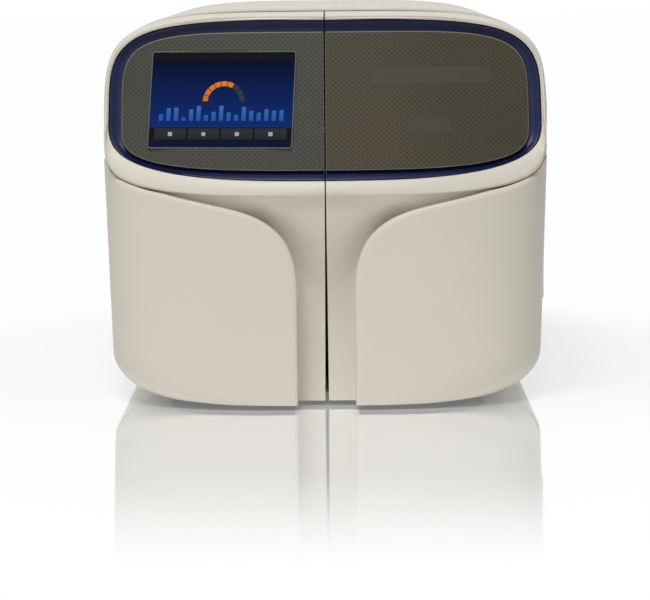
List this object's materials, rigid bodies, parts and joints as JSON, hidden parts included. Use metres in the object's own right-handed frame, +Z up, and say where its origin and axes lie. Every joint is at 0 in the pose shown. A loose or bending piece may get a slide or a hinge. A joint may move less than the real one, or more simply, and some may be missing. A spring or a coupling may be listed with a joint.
{
  "type": "benchtop sequencer",
  "caption": "Benchtop nucleic acid sequencer: rounded cabinet with a leaning visor, touch screen, scooped front, hinged door over a reagent bay with chip clamp, and cooling fans at the back.",
  "frame": {"origin": "centre of the footprint, on the bench surface", "axes": "+X to the right seen from the front, -Y out of the front, +Z up"},
  "size_m": [0.5408, 0.762, 0.467],
  "materials": {
    "cream_paint": "satin moulded",
    "cream_cover": "satin painted",
    "navy_gloss": "high gloss",
    "fascia_olive": "perforated dot pattern",
    "frame_grey": "satin",
    "screen_glass": "glossy lit display",
    "display_metal": "plain",
    "liner_white": "fine grain moulded",
    "dark_plastic": "fine grain moulded",
    "sheet_metal": "powder coat",
    "steel": "brushed",
    "zinc": "zinc plated",
    "foot_rubber": "matt",
    "anodised": "bead blasted",
    "chip_gold": "gold plated",
    "bottle_white": "translucent blow moulded",
    "cap_blue": "satin",
    "cap_orange": "satin",
    "cartridge_blue": "satin",
    "board_green": "solder mask"
  },
  "bodies": {
    "cabinet": {"left_visor_rim": "cream_paint", "left_bezel_ring": "navy_gloss", "left_fascia": "fascia_olive", "screen_frame": "frame_grey", "touch_screen": "screen_glass", "display_module": "display_metal", "left_wing": "cream_paint", "left_centre_panel": "cream_paint", "left_inner_frame": "liner_white", "front_bulkhead": "dark_plastic", "hinge_brackets": "steel", "hinge_pins": "steel", "catch_magnets": "dark_plastic", "main_cover": "cream_cover", "base_pan": "sheet_metal", "rear_panel": "sheet_metal", "feet": "foot_rubber", "bay_liner": "liner_white", "bay_shelf": "liner_white", "clamp_base": "anodised", "chip_socket": "dark_plastic", "flow_chip": "chip_gold", "clamp_pin": "steel", "reagent_cartridge": "cartridge_blue", "cartridge_dock": "frame_grey", "wash_bottle": "bottle_white", "wash_cap": "cap_blue", "waste_bottle": "bottle_white", "waste_cap": "cap_orange", "left_fan_frame": "dark_plastic", "right_fan_frame": "dark_plastic", "fan_guards": "zinc", "power_inlet": "dark_plastic", "port_block": "zinc", "power_supply": "zinc", "main_board": "board_green", "heat_sink": "display_metal", "valve_manifold": "frame_grey", "board_tray": "zinc", "cover_screws": "zinc"},
    "door": {"door_visor_rim": "cream_paint", "door_bezel_ring": "navy_gloss", "door_fascia": "fascia_olive", "door_wing": "cream_paint", "door_centre_panel": "cream_paint", "door_liner": "liner_white", "door_hinge_leaves": "steel", "door_strike_plates": "zinc"},
    "chip_clamp": {"clamp_lid": "liner_white", "clamp_pad": "dark_plastic"},
    "fan_rotor_left": {"left_fan_rotor": "dark_plastic"},
    "fan_rotor_right": {"right_fan_rotor": "dark_plastic"},
    "rocker": {"mains_switch": "dark_plastic"}
  },
  "joints": [
    {"name": "door_hinge", "type": "hinge", "parent": "cabinet", "child": "door", "pos_m": [0.2615, -0.225, 0.2], "axis": [0, 0, 1], "range_deg": [0, 100]},
    {"name": "clamp_hinge", "type": "hinge", "parent": "cabinet", "child": "chip_clamp", "pos_m": [0.184, -0.113, 0.251], "axis": [-1, 0, 0], "range_deg": [0, 70]},
    {"name": "left_fan_spin", "type": "hinge", "parent": "cabinet", "child": "fan_rotor_left", "pos_m": [-0.07, 0.355, 0.15], "axis": [0, 1, 0], "continuous": true},
    {"name": "right_fan_spin", "type": "hinge", "parent": "cabinet", "child": "fan_rotor_right", "pos_m": [0.07, 0.355, 0.15], "axis": [0, 1, 0], "continuous": true},
    {"name": "switch_rock", "type": "hinge", "parent": "cabinet", "child": "rocker", "pos_m": [-0.186, 0.372, 0.0975], "axis": [1, 0, 0], "range_deg": [0, 20]}
  ]
}
